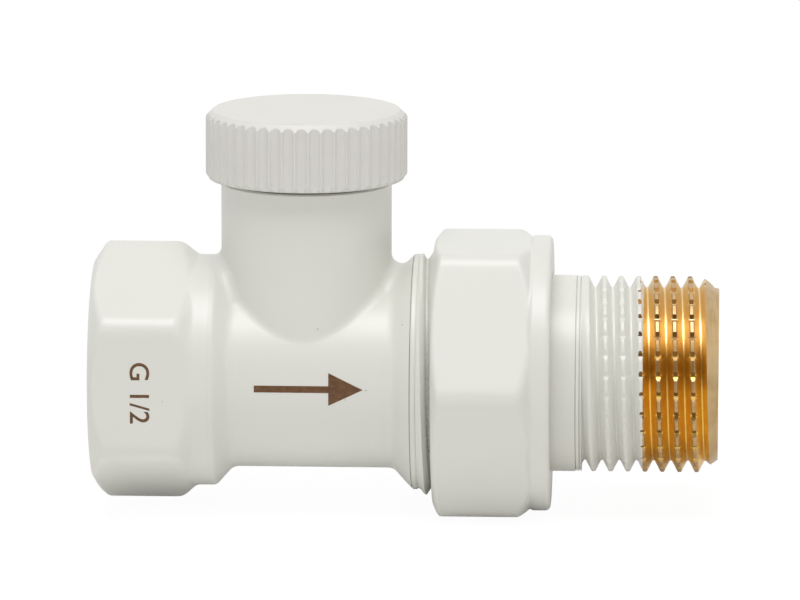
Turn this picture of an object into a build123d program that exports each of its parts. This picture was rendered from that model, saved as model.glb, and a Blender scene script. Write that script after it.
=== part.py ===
from build123d import *
import math
import os

# Straight radiator lockshield valve, half inch, in millimetres.
# X runs along the pipe from the inlet face to the radiator, Z up along the spindle.
# The origin is the centre of the inlet's mouth.

os.makedirs("parts", exist_ok=True)

# Clearances
thread_gap = 0.08        # between a male thread's blank and its female one
running_gap = 0.06       # a turning or sliding piece in its bore
face_gap = 0.05          # between flat faces that close on each other
seal_gap = 0.02          # between a seal and the faces beside it
insert_gap = 0.3         # between the lifted disc holder and the bonnet
side_gap = 0.55          # round the disc holder, for the water
shoulder_gap = 0.2       # between the open spindle's shoulder and the bonnet

# Seat and waterway
seat_bore_r = 4.3
seat_rim_width = 0.9
seat_rim_height = 0.75
seat_cover = 0.3         # how far the washer reaches past the seat's rim
partition_top = 0.6
partition_bottom = -1.6
waterway_r = 8.2
waterway_wall = 2.0
waterway_end = 1.8       # how far the lower waterway runs past the seat
chamber_end = 0.6        # how far the upper waterway runs past the chamber
outlet_bore_start = 9.5  # from the spindle's axis to the full outlet bore
lift = 3.0               # the disc's travel

# Inlet
inlet_thread_r = 10.48   # G 1/2 female thread, at its root
inlet_depth = 11.0
inlet_mouth_chamfer = 0.7
inlet_hex_across = 24.5
inlet_hex_length = 10.6
inlet_hex_corner_r = 2.5
inlet_end_r = 12.1       # flat ring left by the end chamfer
inlet_end_chamfer = 1.4
inlet_shoulder_r = 1.3   # rounded end of the flats, beside the collar

# Pipe run of the body
collar_r = 12.2
collar_length = 2.4
collar_slope = 1.75
collar_edge_r = 0.8
run_fillet = 1.4
tower_x = 22.4
tower_to_flare = 9.3
flare_slope = 2.05
flare_fillet = 1.2
lip_step = 0.4           # the lip, outside the relief beside it
lip_length = 1.0
lip_edge_r = 0.15
relief_length = 0.45
union_thread_r = 13.1    # G 3/4 male thread, at its crest
union_thread_depth = 1.05
union_thread_start = 0.4
union_end_chamfer = 0.6
tower_to_outlet = 21.6
blend_r = 1.1            # between the tower and the run

# Disc, washer and its screw
washer_thickness = 1.8
holder_rim = 0.2
holder_height = 4.0
holder_edge = 0.4
screw_r = 1.7
screw_head_r = 2.9
screw_head_height = 1.0
screw_reach = 1.1
screw_slot_width = 0.7
screw_slot_depth = 0.45
button_r = 3.1
button_height = 1.6
button_neck_r = 2.5
clip_wire = 0.45
clip_bite = 0.35
clip_cover = 0.15
clip_land = 0.2
clip_mouth = 30.0        # degrees left open in the retaining ring

# Spindle and bonnet
stem_r = 3.9
spindle_thread_step = 0.6
spindle_thread_length = 5.6
spindle_head = 0.4       # how far the stem stands above the bonnet
key_across = 4.0
key_depth = 3.0
stem_edge = 0.3
o_ring_wire = 0.48       # half the section of the stem's O-rings
o_ring_slack = 0.1
o_ring_land = 0.6
bonnet_thread_length = 6.5
bonnet_nose_length = 2.5
bonnet_step = 0.6
bonnet_head_across = 11.0
bonnet_head_height = 3.2
bonnet_head_edge = 0.3
bonnet_top_land = 1.0
bonnet_ring_wire = 0.42
bonnet_ring_land = 0.55

# Nipple on the tower, and the cap on it
nipple_wall = 1.45
nipple_height = 4.5
nipple_edge = 0.5
nipple_sink = 0.6        # from the bonnet's top to the nipple's rim
tower_ledge = 0.65
tower_edge = 0.35
gasket_thickness = 1.0
gasket_overlap = 0.8
cap_gap = 0.2
cap_roof = 1.75
cap_wall = 1.84
cap_top_chamfer = 0.75
cap_foot_bevel = 0.3
cap_lip = 0.15
flute_count = 48
flute_depth = 0.36
flute_cutter_r = 0.62

# Tail piece and union nut
tail_bore_r = 7.0
tail_key_across = 12.0
tail_key_length = 8.0
tail_nose_r = 9.4
tail_nose_length = 2.4
tail_cone_length = 2.0
tail_ring_wire = 0.6
tail_ring_place = 1.2    # from the nose's tip to the middle of its O-ring
tail_flange_r = 11.85
tail_flange_thickness = 1.3
tail_neck_r = 10.36
tail_neck_length = 2.6
tail_thread_r = 10.4775  # G 1/2 male thread, at its crest
tail_thread_length = 15.0
tail_groove_depth = 0.15
tail_groove_length = 0.5
tail_end_r = 9.35
tail_end_chamfer = 2.4
nut_length = 12.4
nut_wall = 0.92          # from the thread's blank to the flats
nut_corner_r = 2.2
nut_mouth_slope = 0.33   # the end chamfers' axial length for each millimetre of radius
nut_collar_slope = 0.7
nut_face_step = 0.15     # the mouth's flat ring, inside the flats
nut_collar_step = 0.45   # the round collar, outside the flats
nut_collar_length = 2.35
nut_lip = 2.5
nut_lip_gap = 0.17
nut_edge = 0.5
nut_scallop_r = 0.3      # softened edges between the flats and the mouth's chamfer
nut_mouth_chamfer = 0.5

# Heights along the spindle
seat_z = partition_top + seat_rim_height
washer_z = seat_z + face_gap + lift
holder_z = washer_z + washer_thickness + seal_gap
holder_top = holder_z + holder_height
nose_z = holder_top + insert_gap
shoulder_z = nose_z + bonnet_nose_length
stem_step_z = nose_z + bonnet_thread_length
spindle_shoulder_z = stem_step_z - shoulder_gap
groove_width = 2 * o_ring_wire + 2 * o_ring_slack
lower_ring_z = stem_step_z + lift + o_ring_land + groove_width / 2
upper_ring_z = lower_ring_z + groove_width + o_ring_land
bonnet_top = upper_ring_z + groove_width / 2 + bonnet_top_land
spindle_top = bonnet_top + spindle_head
nipple_top = bonnet_top + nipple_sink
tower_top = nipple_top - nipple_height
gasket_z = nipple_top + face_gap
cap_ceiling = gasket_z + gasket_thickness + face_gap
cap_top = cap_ceiling + cap_roof
cap_bottom = tower_top + cap_gap

# Radii about the spindle, from the seat outwards
seat_rim_r = seat_bore_r + seat_rim_width
washer_r = seat_rim_r + seat_cover
holder_r = washer_r + holder_rim
chamber_r = holder_r + side_gap
bonnet_nose_r = chamber_r - face_gap
bonnet_r = bonnet_nose_r + bonnet_step
bonnet_bore_r = bonnet_r + thread_gap
nipple_r = bonnet_bore_r + nipple_wall
tower_r = nipple_r + tower_ledge
cap_bore_r = nipple_r + thread_gap
cap_r = cap_bore_r + cap_wall + flute_depth
spindle_thread_r = stem_r + spindle_thread_step
spindle_bore_r = spindle_thread_r + thread_gap
stem_bore_r = stem_r + running_gap
o_ring_r = stem_bore_r - seal_gap - o_ring_wire
button_bore_r = button_r + running_gap

# Places along the pipe
collar_end = inlet_hex_length + collar_length
tube_start = collar_end + collar_slope
tube_r = waterway_r + waterway_wall
flare_start = tower_x + tower_to_flare
lip_start = flare_start + flare_slope
relief_r = union_thread_r - union_thread_depth
lip_r = relief_r + lip_step
relief_start = lip_start + lip_length
relief_end = relief_start + relief_length
body_end = tower_x + tower_to_outlet
socket_r = tail_nose_r + running_gap
socket_cone_x = body_end - tail_cone_length
nose_cone_x = socket_cone_x + face_gap
nose_x = nose_cone_x - tail_nose_length
socket_x = nose_x - face_gap
flange_x = nose_cone_x + tail_flange_r - tail_nose_r
flange_end = flange_x + tail_flange_thickness
nut_lip_x = flange_end + face_gap
nut_end = nut_lip_x + nut_lip
nut_start = nut_end - nut_length
nut_bore_r = union_thread_r + thread_gap
nut_across = 2 * (nut_bore_r + nut_wall)
nut_face_r = nut_across / 2 - nut_face_step
nut_collar_r = nut_across / 2 + nut_collar_step
nut_lip_r = tail_thread_r + nut_lip_gap
neck_end = nut_end + tail_neck_length
tail_end = neck_end + tail_thread_length
reach = 4 * (tube_r + nipple_top)    # longer than anything that is cut

# Small pieces that sit between the spindle and the disc
button_depth = button_height + face_gap + clip_wire + clip_land
clip_z = holder_top - clip_land - clip_wire
clip_inner_r = button_neck_r + clip_cover
clip_outer_r = button_bore_r + clip_bite
screw_top = holder_z + screw_reach
bonnet_ring_z = nose_z + bonnet_ring_land + bonnet_ring_wire + o_ring_slack
bonnet_ring_r = chamber_r - seal_gap - bonnet_ring_wire


def turned_along_pipe(points, radii):
    # Solid of revolution about the pipe, from (along, radius) corners with their rounding radii.
    # Its seam lies underneath, away from the tower.
    corners = [(along, 0, -radius) for along, radius in points]
    return revolve(make_face(FilletPolyline(corners, radius=radii, close=True)), Axis.X)


def turned_along_spindle(points, radii):
    # Solid of revolution about the spindle, from (radius, height) corners with their rounding radii
    corners = [(radius, 0, height) for radius, height in points]
    solid = revolve(make_face(FilletPolyline(corners, radius=radii, close=True)), Axis.Z)
    return Pos(tower_x, 0, 0) * solid


def sharp(points):
    return [0] * len(points)


def disc_on_pipe(radius, start, end):
    return Pos(start, 0, 0) * Rot(0, 90, 0) * Cylinder(
        radius, end - start, align=(Align.CENTER, Align.CENTER, Align.MIN))


def disc_on_spindle(radius, bottom, top):
    return Pos(tower_x, 0, bottom) * Cylinder(
        radius, top - bottom, align=(Align.CENTER, Align.CENTER, Align.MIN))


def hexagon_on_pipe(across, corner_r, start, end, turn):
    # A prism of six flats along the pipe, its first corner turned from the top by turn degrees
    outline = RegularPolygon(across / 2, 6, major_radius=False)
    if corner_r > 0:
        outline = fillet(outline.vertices(), corner_r)
    prism = extrude(outline, end - start)
    return Pos(start, 0, 0) * Rot(turn, 0, 0) * Rot(0, 90, 0) * prism


def hexagon_on_spindle(across, bottom, top):
    outline = RegularPolygon(across / 2, 6, major_radius=False)
    return Pos(tower_x, 0, bottom) * extrude(outline, top - bottom)


def ring_on_spindle(middle_r, wire, height):
    return Pos(tower_x, 0, height) * Torus(middle_r, wire)


def edges_along_pipe(solid, start, end):
    # The solid's edges that lie wholly between two places along the pipe
    close = (nut_end - nut_start) / 10000
    boxes = [(edge, edge.bounding_box()) for edge in solid.edges()]
    return [edge for edge, box in boxes if box.min.X > start - close and box.max.X < end + close]


def half_space(above, height):
    # A block over the pipe run, above or below a level
    edge = Align.MIN if above else Align.MAX
    return Pos(0, 0, height) * Box(reach, reach, reach, align=(Align.CENTER, Align.CENTER, edge))


def inlet_hexagon():
    # Six flats with a corner up, turned off at the mouth and rounded over beside the collar
    corner_r = inlet_hex_across / 2 / math.cos(math.pi / 6)
    prism = hexagon_on_pipe(inlet_hex_across, inlet_hex_corner_r, 0, inlet_hex_length, 0)
    inner_end = prism.faces().sort_by(Axis.X)[-1]
    prism = fillet(inner_end.edges(), inlet_shoulder_r)
    envelope = [(0, 0), (0, inlet_end_r), (inlet_end_chamfer, corner_r),
                (inlet_hex_length, corner_r), (inlet_hex_length, 0)]
    return prism & turned_along_pipe(envelope, sharp(envelope))


def body_run():
    # Collar, tube, flare, lip and union thread in one turned outline
    crest_start = relief_end + union_thread_start
    collar_start = inlet_hex_length - 2 * inlet_shoulder_r
    outline = [(collar_start, 0), (collar_start, collar_r), (collar_end, collar_r),
               (tube_start, tube_r), (flare_start, tube_r), (lip_start, lip_r),
               (relief_start, lip_r), (relief_start, relief_r), (relief_end, relief_r),
               (crest_start, union_thread_r), (body_end - union_end_chamfer, union_thread_r),
               (body_end, union_thread_r - union_end_chamfer), (body_end, 0)]
    rounding = [0, 0, collar_edge_r, run_fillet, flare_fillet, lip_edge_r, lip_edge_r, 0, 0, 0, 0, 0, 0]
    return turned_along_pipe(outline, rounding)


def body_tower():
    outline = [(0, 0), (tower_r, 0), (tower_r, tower_top - tower_edge),
               (tower_r - tower_edge, tower_top), (nipple_r, tower_top),
               (nipple_r, nipple_top - nipple_edge), (nipple_r - nipple_edge, nipple_top), (0, nipple_top)]
    return turned_along_spindle(outline, sharp(outline))


def body_waterway():
    # The inlet runs in under the seat, the outlet leaves above it
    inlet = [(0, 0), (0, inlet_thread_r + inlet_mouth_chamfer), (inlet_mouth_chamfer, inlet_thread_r),
             (inlet_depth, inlet_thread_r), (inlet_depth, 0)]
    hollow = turned_along_pipe(inlet, sharp(inlet))
    lower_end = tower_x + seat_bore_r + waterway_end
    hollow += disc_on_pipe(waterway_r, inlet_depth, lower_end) & half_space(False, partition_bottom)
    hollow += disc_on_spindle(seat_bore_r, partition_bottom, seat_z)
    rim = disc_on_spindle(seat_rim_r, partition_top, seat_z)
    upper_start = tower_x - chamber_r - chamber_end
    upper = disc_on_pipe(waterway_r, upper_start, body_end) & half_space(True, partition_top)
    hollow += upper - rim
    hollow += disc_on_spindle(chamber_r, partition_top, shoulder_z) - rim
    hollow += disc_on_spindle(bonnet_bore_r, shoulder_z, nipple_top)
    hollow += disc_on_pipe(waterway_r, tower_x + outlet_bore_start, body_end)
    socket = [(socket_x, 0), (socket_x, socket_r), (socket_cone_x, socket_r),
              (body_end, socket_r + tail_cone_length), (body_end, 0)]
    return hollow + turned_along_pipe(socket, sharp(socket))


def valve_body():
    run = inlet_hexagon() + body_run()
    forging = run + body_tower()
    joint_edges = [edge for edge in forging.edges() if is_tower_joint(edge)]
    forging = fillet(joint_edges, blend_r)
    return forging - body_waterway()


def is_tower_joint(edge):
    # Edges where the tower stands on the run: on the tower's wall, and below its top
    near = tower_r / 1000
    spots = [edge @ share for share in (0.1, 0.5, 0.9)]
    on_wall = all(abs(math.hypot(spot.X - tower_x, spot.Y) - tower_r) < near for spot in spots)
    below = all(0 < spot.Z < tower_top - 2 * tower_edge for spot in spots)
    upright = math.hypot(spots[2].X - spots[0].X, spots[2].Y - spots[0].Y) < near
    return on_wall and below and not upright


def bonnet():
    # Screwed insert with a hexagon head, bored for the spindle's thread and its stem
    outline = [(stem_bore_r, bonnet_top), (stem_bore_r, stem_step_z), (spindle_bore_r, stem_step_z),
               (spindle_bore_r, nose_z), (bonnet_nose_r, nose_z), (bonnet_nose_r, shoulder_z),
               (bonnet_r, shoulder_z), (bonnet_r, bonnet_top)]
    solid = turned_along_spindle(outline, sharp(outline))
    head_z = bonnet_top - bonnet_head_height
    sleeve = disc_on_spindle(bonnet_r, head_z, bonnet_top)
    solid -= sleeve - hexagon_on_spindle(bonnet_head_across, head_z, bonnet_top)
    groove_r = bonnet_nose_r - 2 * bonnet_ring_wire - seal_gap + face_gap - seal_gap
    half_groove = bonnet_ring_wire + o_ring_slack
    groove = disc_on_spindle(chamber_r, bonnet_ring_z - half_groove, bonnet_ring_z + half_groove)
    return solid - (groove - disc_on_spindle(groove_r, nose_z, shoulder_z))


def stem_groove(height):
    cut = disc_on_spindle(stem_bore_r, height - groove_width / 2, height + groove_width / 2)
    core = disc_on_spindle(o_ring_r - o_ring_wire - seal_gap, height - groove_width, height + groove_width)
    return cut - core


def spindle():
    # Hexagon socket on top, two O-ring grooves, a threaded length and a button that carries the disc
    thread_z = spindle_shoulder_z - spindle_thread_length
    button_z = holder_top - button_depth
    outline = [(0, button_z), (button_r, button_z), (button_r, button_z + button_height),
               (button_neck_r, button_z + button_height), (button_neck_r, thread_z),
               (spindle_thread_r, thread_z), (spindle_thread_r, spindle_shoulder_z),
               (stem_r, spindle_shoulder_z), (stem_r, spindle_top - stem_edge),
               (stem_r - stem_edge, spindle_top), (0, spindle_top)]
    solid = turned_along_spindle(outline, sharp(outline))
    solid -= hexagon_on_spindle(key_across, spindle_top - key_depth, spindle_top)
    return solid - stem_groove(lower_ring_z) - stem_groove(upper_ring_z)


def disc_holder():
    # Cup for the spindle's button on top, a tapped hole for the washer's screw below
    button_floor = holder_top - button_depth - face_gap
    outline = [(0, holder_z), (holder_r, holder_z), (holder_r, holder_top - holder_edge),
               (holder_r - holder_edge, holder_top), (0, holder_top)]
    solid = turned_along_spindle(outline, sharp(outline))
    solid -= disc_on_spindle(button_bore_r, button_floor, holder_top)
    solid -= disc_on_spindle(clip_outer_r + seal_gap, clip_z - seal_gap, clip_z + clip_wire + seal_gap)
    return solid - disc_on_spindle(screw_r + thread_gap, holder_z, screw_top + face_gap)


def retaining_ring():
    # Open spring ring in the holder's groove, over the button's shoulder
    ring = disc_on_spindle(clip_outer_r, clip_z, clip_z + clip_wire)
    ring -= disc_on_spindle(clip_inner_r, clip_z, clip_z + clip_wire)
    mouth = 2 * clip_inner_r * math.sin(math.radians(clip_mouth / 2))
    gap = Box(2 * clip_outer_r, mouth, clip_wire, align=(Align.MIN, Align.CENTER, Align.MIN))
    return ring - Pos(tower_x, 0, clip_z) * gap


def seat_washer():
    solid = disc_on_spindle(washer_r, washer_z, washer_z + washer_thickness)
    return solid - disc_on_spindle(screw_r + thread_gap, washer_z, washer_z + washer_thickness)


def washer_screw():
    head_z = washer_z - seal_gap - screw_head_height
    outline = [(0, head_z), (screw_head_r, head_z), (screw_head_r, head_z + screw_head_height),
               (screw_r, head_z + screw_head_height), (screw_r, screw_top), (0, screw_top)]
    solid = turned_along_spindle(outline, sharp(outline))
    slot = Box(2 * screw_head_r, screw_slot_width, screw_slot_depth,
               align=(Align.CENTER, Align.CENTER, Align.MIN))
    return solid - Pos(tower_x, 0, head_z) * slot


def cap_gasket():
    inner_r = nipple_r - nipple_wall - gasket_overlap
    solid = disc_on_spindle(nipple_r, gasket_z, gasket_z + gasket_thickness)
    return solid - disc_on_spindle(inner_r, gasket_z, gasket_z + gasket_thickness)


def cap():
    # Moulded cap: chamfered crown, bevelled foot with a thin lip, and concave finger flutes all round
    foot_r = cap_r - cap_foot_bevel
    outline = [(0, cap_ceiling), (cap_bore_r, cap_ceiling), (cap_bore_r, cap_bottom),
               (foot_r, cap_bottom), (foot_r, cap_bottom + cap_lip),
               (cap_r, cap_bottom + cap_lip + cap_foot_bevel), (cap_r, cap_top - cap_top_chamfer),
               (cap_r - cap_top_chamfer, cap_top), (0, cap_top)]
    solid = turned_along_spindle(outline, sharp(outline))
    flute_r = cap_r - flute_depth + flute_cutter_r
    flute_z = cap_bottom + cap_lip
    cutter = Pos(flute_r, 0, flute_z) * Cylinder(
        flute_cutter_r, cap_top - flute_z, align=(Align.CENTER, Align.CENTER, Align.MIN))
    flutes = [Pos(tower_x, 0, 0) * Rot(0, 0, turn * 360 / flute_count) * cutter for turn in range(flute_count)]
    return solid - flutes


def tail_piece():
    # Nose, sealing cone and flange inside the union, then a plain neck and the radiator's thread
    thread_x = neck_end + tail_groove_length
    groove_r = tail_neck_r - tail_groove_depth
    outline = [(nose_x, 0), (nose_x, tail_nose_r), (nose_cone_x, tail_nose_r), (flange_x, tail_flange_r),
               (flange_end, tail_flange_r), (flange_end, tail_neck_r), (neck_end, tail_neck_r),
               (neck_end + tail_groove_length / 2, groove_r), (thread_x, tail_thread_r),
               (tail_end - tail_end_chamfer, tail_thread_r), (tail_end, tail_end_r), (tail_end, 0)]
    solid = turned_along_pipe(outline, sharp(outline))
    key_start = flange_x
    key_end = key_start + tail_key_length
    solid -= disc_on_pipe(tail_bore_r, nose_x, key_start)
    solid -= hexagon_on_pipe(tail_key_across, 0, key_start, key_end, 0)
    solid -= disc_on_pipe(tail_bore_r, key_end, tail_end)
    ring_x = nose_x + tail_ring_place
    half_groove = tail_ring_wire + o_ring_slack
    groove = disc_on_pipe(socket_r, ring_x - half_groove, ring_x + half_groove)
    groove_floor = socket_r - 2 * tail_ring_wire - 2 * seal_gap
    return solid - (groove - disc_on_pipe(groove_floor, nose_x, nose_cone_x))


def tail_o_ring():
    middle_r = socket_r - seal_gap - tail_ring_wire
    return Pos(nose_x + tail_ring_place, 0, 0) * Rot(0, 90, 0) * Torus(middle_r, tail_ring_wire)


def union_nut():
    # Hexagon with chamfered ends and a round collar that hides its lip
    corner_r = nut_across / 2 / math.cos(math.pi / 6)
    hex_end = nut_end - nut_collar_length
    prism = hexagon_on_pipe(nut_across, nut_corner_r, nut_start, hex_end, 30)
    left_run = (corner_r - nut_face_r) * nut_mouth_slope
    right_run = (corner_r - nut_collar_r) * nut_collar_slope
    envelope = [(nut_start, 0), (nut_start, nut_face_r), (nut_start + left_run, corner_r),
                (hex_end - right_run, corner_r), (hex_end, nut_collar_r), (hex_end, 0)]
    solid = prism & turned_along_pipe(envelope, sharp(envelope))
    solid = fillet(edges_along_pipe(solid, nut_start + left_run / 100, nut_start + 2 * left_run), nut_scallop_r)
    collar = [(hex_end, 0), (hex_end, nut_collar_r), (nut_end, nut_collar_r), (nut_end, 0)]
    solid += turned_along_pipe(collar, [0, 0, nut_edge, 0])
    bore = [(nut_start, 0), (nut_start, nut_bore_r + nut_mouth_chamfer),
            (nut_start + nut_mouth_chamfer, nut_bore_r), (nut_lip_x, nut_bore_r), (nut_lip_x, nut_lip_r),
            (nut_end, nut_lip_r), (nut_end, 0)]
    return solid - turned_along_pipe(bore, sharp(bore))


pieces = {
    "valve_body": valve_body(),
    "bonnet": bonnet(),
    "bonnet_o_ring": ring_on_spindle(bonnet_ring_r, bonnet_ring_wire, bonnet_ring_z),
    "spindle": spindle(),
    "spindle_o_ring_lower": ring_on_spindle(o_ring_r, o_ring_wire, lower_ring_z),
    "spindle_o_ring_upper": ring_on_spindle(o_ring_r, o_ring_wire, upper_ring_z),
    "disc_holder": disc_holder(),
    "disc_retaining_ring": retaining_ring(),
    "seat_washer": seat_washer(),
    "washer_screw": washer_screw(),
    "cap_gasket": cap_gasket(),
    "cap": cap(),
    "tail_piece": tail_piece(),
    "tail_o_ring": tail_o_ring(),
    "union_nut": union_nut(),
}

for name, piece in pieces.items():
    export_step(piece, f"parts/{name}.step")

print("length", round(tail_end, 2), "cap top", round(cap_top, 2), "cap bottom", round(cap_bottom, 2))
print("tower radius", round(tower_r, 2), "cap radius", round(cap_r, 2), "nut from", round(nut_start, 2))
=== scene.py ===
# Straight radiator valve: finishes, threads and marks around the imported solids, in metres
import bpy
import bmesh
import math
from mathutils import Matrix, Vector


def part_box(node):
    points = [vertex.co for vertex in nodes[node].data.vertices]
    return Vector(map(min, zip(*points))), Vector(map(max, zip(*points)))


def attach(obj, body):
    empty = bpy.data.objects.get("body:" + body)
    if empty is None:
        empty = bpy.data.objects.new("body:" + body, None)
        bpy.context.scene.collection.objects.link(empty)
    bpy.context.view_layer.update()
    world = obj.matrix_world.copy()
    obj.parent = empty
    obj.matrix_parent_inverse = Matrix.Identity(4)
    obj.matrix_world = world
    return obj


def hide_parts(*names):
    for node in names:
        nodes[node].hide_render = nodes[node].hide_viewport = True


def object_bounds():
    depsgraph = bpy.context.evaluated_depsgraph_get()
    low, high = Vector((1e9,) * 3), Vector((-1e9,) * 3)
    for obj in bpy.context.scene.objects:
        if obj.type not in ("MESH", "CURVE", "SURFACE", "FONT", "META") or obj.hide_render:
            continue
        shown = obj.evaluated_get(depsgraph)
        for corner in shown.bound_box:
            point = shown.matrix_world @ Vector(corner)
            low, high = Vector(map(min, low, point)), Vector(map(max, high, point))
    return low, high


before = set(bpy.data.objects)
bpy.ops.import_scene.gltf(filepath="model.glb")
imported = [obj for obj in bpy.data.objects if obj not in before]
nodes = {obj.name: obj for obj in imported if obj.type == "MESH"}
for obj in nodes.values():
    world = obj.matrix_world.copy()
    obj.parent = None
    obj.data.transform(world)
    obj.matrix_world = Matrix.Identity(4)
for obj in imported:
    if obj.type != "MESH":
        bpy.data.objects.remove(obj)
cadLow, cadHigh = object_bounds()
scene = bpy.context.scene
mm = 0.001

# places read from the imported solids
_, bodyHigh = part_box("valve_body")
_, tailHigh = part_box("tail_piece")
nutLow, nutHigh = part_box("union_nut")
capLow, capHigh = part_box("cap")
spindleX = (capLow.x + capHigh.x) / 2
bodyEnd = bodyHigh.x
nippleTop = bodyHigh.z
tailEnd = tailHigh.x
print("frame read: length", round(tailEnd / mm, 2), "mm, spindle at", round(spindleX / mm, 2), "mm")

# right-handed axes: along, then the two directions that the angle turns through
pipeAxes = (Vector((1, 0, 0)), Vector((0, 1, 0)), Vector((0, 0, 1)), Vector((0, 0, 0)))
spindleAxes = (Vector((0, 0, 1)), Vector((1, 0, 0)), Vector((0, 1, 0)), Vector((spindleX, 0, 0)))


# node helpers
def addNode(tree, kind, place=(0, 0), **settings):
    made = tree.nodes.new(kind)
    made.location = place
    for name, value in settings.items():
        setattr(made, name, value)
    return made


def wire(tree, source, target):
    tree.links.new(source, target)


def feed(tree, socket, value):
    if isinstance(value, bpy.types.NodeSocket):
        tree.links.new(value, socket)
    else:
        socket.default_value = value


def mathNode(tree, operation, first, second=None, third=None):
    made = addNode(tree, "ShaderNodeMath", operation=operation)
    for socket, value in zip(made.inputs, (first, second, third)):
        if value is not None:
            feed(tree, socket, value)
    return made.outputs[0]


def mapRange(tree, value, low, high, toLow=0.0, toHigh=1.0, smooth=False):
    made = addNode(tree, "ShaderNodeMapRange")
    made.interpolation_type = "SMOOTHSTEP" if smooth else "LINEAR"
    names = ("Value", "From Min", "From Max", "To Min", "To Max")
    for name, item in zip(names, (value, low, high, toLow, toHigh)):
        feed(tree, made.inputs[name], item)
    return made.outputs["Result"]


def mixColour(tree, share, first, second):
    made = addNode(tree, "ShaderNodeMix", data_type="RGBA")
    feed(tree, made.inputs["Factor"], share)
    feed(tree, made.inputs["A"], first)
    feed(tree, made.inputs["B"], second)
    return made.outputs["Result"]


def mixValue(tree, share, first, second):
    made = addNode(tree, "ShaderNodeMix", data_type="FLOAT")
    feed(tree, made.inputs["Factor"], share)
    feed(tree, made.inputs["A"], first)
    feed(tree, made.inputs["B"], second)
    return made.outputs["Result"]


def noiseNode(tree, vector, scale, detail=2.0, roughness=0.5):
    made = addNode(tree, "ShaderNodeTexNoise")
    feed(tree, made.inputs["Vector"], vector)
    feed(tree, made.inputs["Scale"], scale)
    made.inputs["Detail"].default_value = detail
    made.inputs["Roughness"].default_value = roughness
    return made.outputs["Fac"]


def newGroup(name, inputs, outputs):
    group = bpy.data.node_groups.new(name, "ShaderNodeTree")
    for label, kind, value in inputs:
        socket = group.interface.new_socket(label, in_out="INPUT", socket_type=kind)
        if value is not None:
            socket.default_value = value
    for label, kind in outputs:
        group.interface.new_socket(label, in_out="OUTPUT", socket_type=kind)
    entry = addNode(group, "NodeGroupInput", (-900, 0))
    leave = addNode(group, "NodeGroupOutput", (900, 0))
    return group, entry.outputs, leave.inputs


def placeGroup(tree, group, **values):
    made = addNode(tree, "ShaderNodeGroup", node_tree=group)
    for name, value in values.items():
        feed(tree, made.inputs[name.replace("_", " ")], value)
    return made.outputs


def newMaterial(name):
    material = bpy.data.materials.new(name)
    material.use_nodes = True
    tree = material.node_tree
    shader = tree.nodes["Principled BSDF"]
    place = addNode(tree, "ShaderNodeTexCoord", (-1200, 0)).outputs["Object"]
    return material, tree, shader, place


def bumpNode(tree, height, distance, strength=1.0, normal=None):
    made = addNode(tree, "ShaderNodeBump")
    made.inputs["Strength"].default_value = strength
    made.inputs["Distance"].default_value = distance
    feed(tree, made.inputs["Height"], height)
    if normal is not None:
        feed(tree, made.inputs["Normal"], normal)
    return made.outputs["Normal"]


# shared effects
def makeCoatGroup():
    # sprayed enamel: faint cloudiness, orange peel, and a few dark specks
    group, given, out = newGroup(
        "sprayedCoat",
        [("Place", "NodeSocketVector", None), ("Colour", "NodeSocketColor", (0.8, 0.8, 0.8, 1)),
         ("Shade", "NodeSocketColor", (0.7, 0.7, 0.7, 1)), ("Gloss", "NodeSocketFloat", 0.3),
         ("Specks", "NodeSocketFloat", 0.0)],
        [("Colour", "NodeSocketColor"), ("Roughness", "NodeSocketFloat"), ("Height", "NodeSocketFloat")])
    cloud = noiseNode(group, given["Place"], 140, 3.0)
    share = mapRange(group, cloud, 0.25, 0.75, 0.0, 1.0, True)
    tint = mixColour(group, share, given["Colour"], given["Shade"])
    cells = addNode(group, "ShaderNodeTexVoronoi", feature="F1")
    wire(group, given["Place"], cells.inputs["Vector"])
    cells.inputs["Scale"].default_value = 310
    dot = mapRange(group, cells.outputs["Distance"], 0.018, 0.042, 1.0, 0.0)
    split = addNode(group, "ShaderNodeSeparateColor")
    wire(group, cells.outputs["Color"], split.inputs["Color"])
    chosen = mathNode(group, "LESS_THAN", split.outputs["Red"], given["Specks"])
    mark = mathNode(group, "MULTIPLY", dot, chosen)
    mark = mathNode(group, "MULTIPLY", mark, 0.55)
    wire(group, mixColour(group, mark, tint, (0.16, 0.13, 0.10, 1)), out["Colour"])
    patch = noiseNode(group, given["Place"], 1500, 2.0)
    smoothest = mathNode(group, "SUBTRACT", given["Gloss"], 0.02)
    wire(group, mathNode(group, "MULTIPLY_ADD", patch, 0.04, smoothest), out["Roughness"])
    peel = noiseNode(group, given["Place"], 900, 2.0)
    fine = noiseNode(group, given["Place"], 3600, 2.0)
    wire(group, mathNode(group, "MULTIPLY_ADD", fine, 0.2, peel), out["Height"])
    return group


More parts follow.
